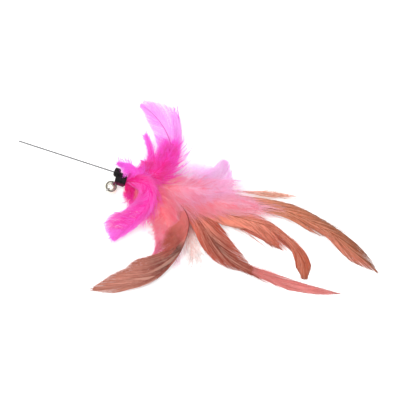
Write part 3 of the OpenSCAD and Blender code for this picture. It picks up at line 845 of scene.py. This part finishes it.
hackle("hackle_low_long", "rose", 13,
    line=((-3, -1), 0.91, {0: 1, 0.2: -7, 0.4: -35, 0.6: -8, 0.8: 0, 1: 8},
        {0.1: -0.35, 0.4: -0.48, 0.6: -0.68, 1: -0.72}), counts=(360, 360), reach=0.16, width=0.36,
    part=0.08, uneven=0.08,
    shift={0.4: 0, 0.5: -0.15, 0.6: -0.28, 0.7: -0.22, 0.8: -0.25, 0.9: -0.17, 1: -0.05},
    left={0.3: 0.2, 0.45: 0.35, 0.56: 0.13, 0.62: 0.13, 0.7: 0.27, 0.8: 0.33, 0.9: 0.24, 0.97: 0.1, 1: 0.02},
    right={0.3: 0.25, 0.45: 0.4, 0.56: 0.16, 0.62: 0.16, 0.7: 0.28, 0.8: 0.33, 0.9: 0.24, 0.97: 0.1,
        1: 0.02}, last=0.99)
hackle("hackle_hooked", "hooked_rust", 14,
    line=((0, 0), 0.8, {0: 4, 0.2: 0, 0.4: 0, 0.6: 4, 0.8: -28, 1: -80}, {0.1: 0.1, 0.5: 0.12, 1: -0.72}),
    counts=(420, 520), reach=0.14, width=0.42, start=0.22, part=0.03, uneven=0.03, gather=0.2, stop=0.84,
    tips=(0.92, 1.05), shift={0.4: -0.05, 0.6: -0.1, 0.8: 0.02, 0.9: 0.14, 1: 0.22},
    left={0.25: 0.3, 0.5: 0.5, 0.6: 0.46, 0.7: 0.27, 0.8: 0.16, 0.85: 0.2, 0.9: 0.36, 1: 0.2},
    right={0.25: 0.35, 0.5: 0.72, 0.6: 0.53, 0.65: 0.62, 0.7: 0.78, 0.75: 0.88, 0.8: 0.76, 0.815: 0.5,
        0.825: 0.12, 0.9: 0.28, 1: 0.2},
    extras=[
        extra(side, edge, 190, 0.79, 0.93, 0.1, gather=0, part=0, uneven=0, width=0.5, fade=0.5, last=0.985,
            tips=(0.95, 1.02), clumps=60, patches=(0.1, 0.4))
        for side, edge in (
            (1, {0.8: 0.14, 0.85: 0.24, 0.9: 0.4, 0.94: 0.46, 0.96: 0.36, 0.98: 0.22, 1.03: 0.03}),
            (-1, {0.8: 0.08, 0.85: 0.18, 0.9: 0.38, 0.94: 0.44, 0.96: 0.34, 0.98: 0.2, 1.03: 0.02}))]
    + [
        extra(-1, {0: 1.2, 1: 1.3}, 4, 0.38, 0.46, 0.3, tone=(0, 0), width=0.32, fade=0.6, wave=0.5,
            tips=(0.8, 1.1))])
hackle("hackle_middle", "middle_salmon", 15,
    line=((-1, -1), 0.67, {0: 1, 0.4: -8, 0.6: 7, 0.8: -4, 1: -28}, {0.1: -0.18, 0.5: -0.2, 1: -0.72}),
    counts=(320, 380), reach=0.18, width=0.38, part=0.12, left={0.3: 0.25, 0.6: 0.35, 0.85: 0.3, 1: 0.05},
    right={0.3: 0.25, 0.55: 0.22, 0.7: 0.28, 0.8: 0.5, 0.9: 0.6, 0.97: 0.35, 1: 0.05})
hackle("hackle_longest", "long_rust", 16,
    line=((2, 0), 1, {0: 9, 0.2: 6, 0.6: 5, 0.8: -20, 1: -31}, {0.1: -0.02, 0.5: -0.05, 1: -0.72}),
    counts=(560, 560), reach=0.15, width=0.42, start=0.25, part=0.08, uneven=0.08,
    shift={0.5: 0.05, 0.6: 0.15, 0.7: 0, 0.8: 0.1, 0.9: 0.06, 1: 0.28},
    left={0.25: 0.3, 0.45: 0.4, 0.52: 0.55, 0.6: 0.5, 0.7: 0.5, 0.8: 0.4, 0.9: 0.5, 0.96: 0.3, 1: 0.03},
    right={0.25: 0.25, 0.5: 0.25, 0.6: 0.33, 0.7: 0.5, 0.76: 0.48, 0.79: 0.22, 0.82: 0.32, 0.86: 0.52,
        0.92: 0.5, 0.97: 0.3, 1: 0.06})
hackle("hackle_wisp", "wisp_tan", 17, line=((3, -1), 0.61, {0: 11, 1: 14}, {0.1: -0.3, 1: -0.3}), accents=8,
    counts=(46, 60), reach=0.22, width=0.22, tips=(0.3, 1.4), loose=0.9, strays=4, start=0.7, wave=0.6,
    stop=0.85, last=0.99, left={0.3: 0.35, 0.7: 0.45, 0.9: 0.3, 1: 0.1},
    right={0.3: 0.35, 0.7: 0.6, 0.85: 0.4, 1: 0.1},
    extras=[
        extra(-1, {0: 0.4, 1.2: 0.3}, 7, 0.6, 0.85, 0.35, last=1.15, tone=(0, 0), width=0.35, fade=0.5,
            wave=1, loose=1, tips=(0.1, 1.2)),
        extra(1, {0: 0.2, 1.2: 0.2}, 4, 0.6, 0.8, 0.3, last=1.15, tone=(0, 0), width=0.35, fade=0.5, wave=1,
            loose=1, tips=(0.1, 1.2))])

# The soft plumes, and what the fluffy ones have in common
FLUFFY = dict(loose=1.6, tips=(0.3, 1.35), wave=0.8, sway=2.2, lift=1.1, spread=0.4, last=1.14, clumps=60,
    gather=0.5, part=0.1, width=0.15, patches=(0.1, 0.55), hairs=3, lock=0.75, shaft_r=(0.3, 0.06))
plume("plume_tall", "pale_pink", 21,
    line=((5, 1), 0.99, {0: 18, 0.2: 32, 0.4: 78, 0.6: 118, 0.8: 143, 1: 165}, {0.2: 0.08, 0.6: 0.1, 1: 0}),
    counts=(620, 760), width=0.14, wave=0.25, haze=26, lift=0.4, reach=0.15, right_reach=0.3, bow=1.4,
    tips=(0.8, 1.08), shaft_r=(0.4, 0.2), last=1.03, shift={0.5: 0, 0.7: 0.15, 0.85: 0.2, 1: 0.2},
    left={0.1: 0.2, 0.35: 0.5, 0.5: 0.8, 0.6: 0.85, 0.7: 0.75, 0.8: 0.68, 0.9: 0.52, 1: 0.2, 1.1: 0.05},
    right={0.1: 0.2, 0.4: 0.3, 0.55: 0.35, 0.65: 0.6, 0.75: 0.9, 0.82: 1.08, 0.9: 0.95, 1: 0.5, 1.1: 0.1},
    extras=[
        extra(1, {0: 0.85, 1: 0.85}, 70, 0.45, 0.62, 0.02, wave=0.8, width=0.25, tips=(0.5, 1.1), loose=1)])
plume("plume_tall_inner", "violet_pink", 22,
    line=((4, 0), 0.95, {0: 10, 0.2: 25, 0.4: 66, 0.6: 102, 0.8: 118, 1: 125},
        {0.2: -0.12, 0.6: -0.15, 1: -0.3}), counts=(220, 220), width=0.2, wave=0.25, haze=24, reach=0.3,
    bow=1.2, splits=6, part=0.6, tips=(0.6, 1.15), last=0.93, loose=0.5, shift={0.5: 0, 0.8: -0.12, 1: -0.2},
    left={0.1: 0.25, 0.5: 0.38, 1: 0.3}, right={0.1: 0.2, 0.5: 0.3, 0.8: 0.25, 1: 0.2},
    extras=[
        extra(side, {0: 0.3, 1: 0.3}, 7, 0.45, 0.7, 0.35, bow=1.2, fade=0.6, tone=(0, 0), tips=(0.2, 1),
            rise=3.5, clumps=7, gather=0) for side in (1, -1)])
plume("plume_thin", "magenta", 23,
    line=((3, 1), 0.54, {0: 20, 0.25: 42, 0.5: 88, 0.75: 125, 1: 138}, {0.2: 0.25, 0.6: 0.4, 1: 0.6}),
    counts=(280, 240), tone=(0.45, 1), shift={0.3: 0.02, 0.5: 0.1, 0.7: 0.08, 1: 0}, haze=60, haze_long=8,
    reach=0.2, loose=0.8, tips=(0.4, 1.4), last=1.03, sway=0.6,
    left={0.1: 0.2, 0.4: 0.4, 0.55: 0.32, 0.7: 0.24, 1: 0.18, 1.1: 0.08},
    right={0.1: 0.2, 0.4: 0.2, 0.6: 0.18, 1: 0.14, 1.1: 0.05},
    extras=[
        extra(1, {0: 0.55, 1: 0.7}, 8, 0.36, 0.52, 0.02, bow=1.1, splits=1, clumps=8, gather=0, part=0,
            spread=0.5, width=0.7, fade=0.5, tone=(tone, tone), tips=(0.6, 1.1), lift=0, rise=rise)
        for tone, rise in ((0, 7), (1, 6.5))])
plume("plume_knot_cover", "bright_pink", 24,
    line=((2, 2), 0.31, {0: 30, 0.25: 60, 0.5: 150, 0.75: 185, 1: 190}, {0.3: 0.8, 1: 0.85}),
    counts=(620, 240), reach=0.45, haze=24, haze_long=8, start=0, loose=1, tips=(0.3, 1.2), last=0.97,
    sway=0.8, clumps=30, splits=6, part=0.35, gather=0.5, lock=0.7, shift={0.5: 0, 1: 0.1},
    left={0: 0.5, 0.3: 0.9, 0.5: 0.9, 0.65: 0.74, 0.8: 0.62, 0.95: 0.42, 1.1: 0.1},
    right={0: 0.4, 0.35: 0.5, 0.5: 0.12, 1: 0.06},
    extras=[
        extra(-1, {0: 0.4, 1: 0.5}, 9, 0.55, 0.95, 0.2, fade=0.5, tips=(0.5, 1.4), last=1.3, loose=0.6,
            wave=0.5, tone=(0.3, 0.8)),
        extra(-1, {0: 0.6, 0.4: 1.2, 0.6: 1, 1: 0.5}, 170, 0.1, 0.45, 0.12, width=0.2, loose=1.4,
            tips=(0.4, 1.3), wave=0.6, sway=1.5, clumps=20, lock=0.6, tone=(0.1, 0.9))])
plume("plume_curl", "magenta", 25,
    line=((0, 2), 0.8, {0: 18, 0.15: 12, 0.35: -80, 0.55: -112, 0.8: -125, 1: -122},
        {0.12: 1, 0.4: 1.1, 0.7: 0.7, 1: 0}), counts=(800, 1050), reach=0.2, haze=70, start=0,
    tips=(0.7, 1.12), part=0.12, last=0.99, loose=0.5, sway=0.6, clumps=60, accents=36, lock=0.25,
    left={0: 0.4, 0.15: 0.6, 0.3: 0.52, 0.4: 0.42, 0.5: 0.4, 0.7: 0.42, 0.8: 0.37, 0.9: 0.32, 1: 0.22,
        1.2: 0.1},
    right={0: 0.35, 0.2: 0.5, 0.35: 0.6, 0.5: 0.74, 0.6: 0.78, 0.7: 0.9, 0.8: 1.04, 0.9: 1.14, 1: 1.02,
        1.2: 0.5},
    extras=[
        extra(-1, {0: 1.2, 1: 1.2}, 6, 0.66, 0.72, 0.16, tone=(0, 0), fade=0.5, gather=0.9),
        extra(1, {0: 0.9, 1: 0.85}, 300, 0.1, 0.55, 0.16, loose=1.4, width=0.22, tips=(0.3, 1.2), wave=0.8,
            sway=1.2, tone=(0, 0.8))])
plume("plume_cup", "deep_pink", 26,
    line=((-5, 1), 0.26, {0: -10, 0.3: -50, 0.6: -120, 1: -165}, {0.4: 0.12, 1: 0.1}), counts=(520, 260),
    reach=0.3, haze=50, loose=1.4, start=0, tips=(0.3, 1.2), stop=0.5, last=0.8, sway=1,
    left={0: 0.35, 0.3: 0.6, 0.6: 0.7, 1: 0.3}, right={0: 0.3, 0.4: 0.5, 1: 0.4})
plume("plume_dense", "hot_pink", 27,
    line=((4, 2), 0.62, {0: 14, 0.3: 38, 0.6: 75, 1: 105}, {0.2: 0.5, 0.5: 0.75, 1: 0.95}),
    counts=(1100, 1100), reach=0.22, haze=120, haze_long=12, start=0.05, stop=0.8,
    left={0.1: 0.45, 0.4: 0.9, 0.7: 0.75, 0.85: 0.5, 1: 0.3, 1.25: 0.1},
    right={0.1: 0.4, 0.4: 0.9, 0.7: 0.95, 0.85: 0.7, 1: 0.45, 1.25: 0.1}, shift={0.4: 0, 0.7: 0.02, 1: 0.15},
    extras=[
        extra(-1, {0: 1.8, 0.9: 1.6, 1.4: 0.7}, 24, 0.3, 0.8, 0.34, bow=1.6, width=0.45, fade=0.6,
            tone=(0.2, 0.6), tips=(0.6, 1.1), loose=0.8, last=1.12, wave=0.6),
        extra(-1, {0: 1.2, 0.9: 1.1, 1.3: 0.6}, 180, 0.3, 0.9, 0.35, bow=1.5, width=0.14, tone=(0.6, 1),
            tips=(0.5, 1.2), loose=1.5, last=1.06, wave=0.8),
        extra(1, {0: 0.9, 0.6: 1.1, 1: 0.8}, 200, 0.2, 0.85, 0.3, bow=1.5, width=0.14, tone=(0.6, 1),
            tips=(0.5, 1.2), loose=1.5, last=1.04, wave=0.8)], accents=90,
    **dict(FLUFFY, last=0.93, loose=1.2, sway=1.8))
plume("plume_petal", "petal_pink", 28,
    line=((0, -2), 0.99, {0: 6, 0.4: 10, 0.6: 22, 0.8: 50, 1: 85}, {0.2: -0.66, 1: -0.72}),
    counts=(800, 1100), start=0.25, reach=0.15, haze=30, last=1.04, tips=(0.85, 1.06), wave=0.3, lift=0.5,
    part=0.03, uneven=0.05, loose=0.4, gather=0.1, shift={0.85: 0, 1: 0.36},
    left={0.2: 0.3, 0.5: 0.7, 0.7: 0.9, 0.8: 0.9, 0.9: 0.72, 1: 0.38, 1.05: 0.2, 1.1: 0.05},
    right={0.2: 0.3, 0.5: 0.8, 0.75: 1.1, 0.85: 1.08, 0.92: 0.92, 1: 0.55, 1.05: 0.25, 1.1: 0.05})
plume("plume_pale", "petal_pink", 29, line=((2, -2), 0.72, {0: 14, 0.5: 22, 1: 32}, {0.2: -0.44, 1: -0.44}),
    counts=(500, 380), start=0.2, reach=0.24, haze=110, haze_long=14, lifted={0.3: 0, 0.6: 0.5, 1: 0.5},
    left={0.1: 0.4, 0.5: 1, 0.8: 1.15, 1: 1, 1.15: 0.7, 1.25: 0.1},
    right={0.1: 0.3, 0.5: 0.7, 1: 0.7, 1.15: 0.4, 1.25: 0.1}, **FLUFFY)
plume("plume_under", "coral_pink", 30,
    line=((-4, 0), 0.72, {0: -10, 0.4: -38, 0.7: -62, 1: -86}, {0.25: -0.15, 1: -0.4}), counts=(420, 440),
    reach=0.22, haze=70, loose=0.8, tips=(0.3, 1.3), start=0, last=1.16,
    left={0: 0.4, 0.5: 0.5, 0.8: 1.3, 1: 1.5, 1.16: 1.3},
    right={0: 0.4, 0.4: 0.5, 0.7: 0.35, 1: 0.25, 1.16: 0.3})
plume("coral_fluff_low", "coral_pink", 31,
    line=((-2, 2), 0.8, {0: -4, 0.35: -22, 0.7: -68, 1: -95}, {0.2: 0.65, 1: 0.6}), counts=(1000, 1000),
    reach=0.24, haze=140, haze_long=14, stop=0.78, left={0.1: 0.4, 0.4: 0.9, 0.7: 0.9, 1: 0.6},
    right={0.1: 0.4, 0.35: 0.95, 0.55: 0.9, 0.7: 0.6, 0.8: 0.5, 0.95: 0.4}, right_reach=0.1,
    extras=[
        extra(-1, {0: 1.2, 0.6: 1.35, 1: 1}, 150, 0.3, 0.8, 0.12, width=0.24, loose=1.4, tips=(0.5, 1.25),
            wave=0.8, sway=2, clumps=24, lock=0.7, tone=(0, 0.7))], accents=100,
    **dict(FLUFFY, last=0.86, tips=(0.2, 1.5)))
plume("coral_fluff_top", "coral_rose", 32, line=((1, 1), 0.75, {0: 8, 0.4: 12, 1: 20}, {0.2: 0.48, 1: 0.5}),
    counts=(1000, 1100), reach=0.26, haze=140, haze_long=16,
    left={0.1: 0.4, 0.4: 0.75, 0.7: 0.65, 1: 0.5, 1.15: 0.35, 1.3: 0.1},
    right={0.1: 0.3, 0.4: 0.9, 0.7: 1.2, 1: 1.2, 1.15: 0.6, 1.3: 0.1}, accents=100,
    extras=[
        extra(side, {0: 0.8, 1: 0.9, 1.6: 0.4}, 280, 0.7, 1, 0.5, width=0.17, loose=1.4, last=1.6,
            tips=(0.1, 1.2), wave=0.8, sway=1.5, tone=(0.4, 1)) for side in (1, -1)],
    **dict(FLUFFY, hairs=2))
plume("coral_fluff_long", "coral", 33, line=((-1, 1), 1.1, {0: 7, 0.3: 5, 1: 8}, {0.2: 0.25, 1: 0.28}),
    counts=(1000, 1000), reach=0.22, haze=130, haze_long=14,
    left={0.1: 0.3, 0.5: 0.9, 0.8: 0.85, 1: 0.45, 1.15: 0.2},
    right={0.1: 0.3, 0.4: 0.9, 0.55: 1.2, 0.7: 1.1, 0.8: 0.7, 1: 0.3, 1.15: 0.1}, accents=100,
    extras=[
        extra(side, {0: 0.8, 1: 0.6, 1.6: 0.3}, 150, 0.6, 1, 0.35, width=0.16, loose=1.5, last=1.6,
            tips=(0.2, 1.2), wave=0.8, sway=1.5, tone=(0.3, 1), rise=0.5) for side in (1, -1)]
    + [
        extra(-1, {0: 1, 0.6: 1.7, 0.8: 1.3, 1: 0.8}, 500, 0.25, 0.7, 0.22, width=0.2, loose=1.4,
            tips=(0.4, 1.2), wave=0.8, sway=1.5, clumps=30, lock=0.6, rise=0.5),
        extra(1, {0: 0.9, 0.8: 1.2, 1.1: 0.6}, 600, 0.4, 0.95, 0.24, width=0.22, loose=1.3, tips=(0.2, 1.2),
            wave=0.8, sway=1.5, clumps=30, lock=0.6, rise=1.5, tone=(0.3, 1), last=1.1)],
    **dict(FLUFFY, last=1.08, width=0.19, hairs=1))
plume("coral_strands", "pale_peach", 34,
    line=((-2, -2), 0.95, {0: -5, 0.35: -12, 0.6: -40, 1: -66}, {0.2: -0.5, 0.6: -0.62, 1: -0.72}),
    counts=(270, 230), reach=0.3, haze=60, haze_long=14, left={0.1: 0.3, 0.5: 0.95, 0.8: 0.95, 1: 0.8},
    right={0.1: 0.3, 0.5: 0.7, 1: 0.65},
    extras=[
        extra(1, {0: 0.9, 0.7: 1.3, 1: 1}, 220, 0.4, 0.72, 0.2, width=0.22, loose=1, tips=(0.2, 1.2),
            wave=0.6, sway=1.2, tone=(0, 0.7))], **dict(FLUFFY, tips=(0.2, 1.3), width=0.12, lock=0.3))
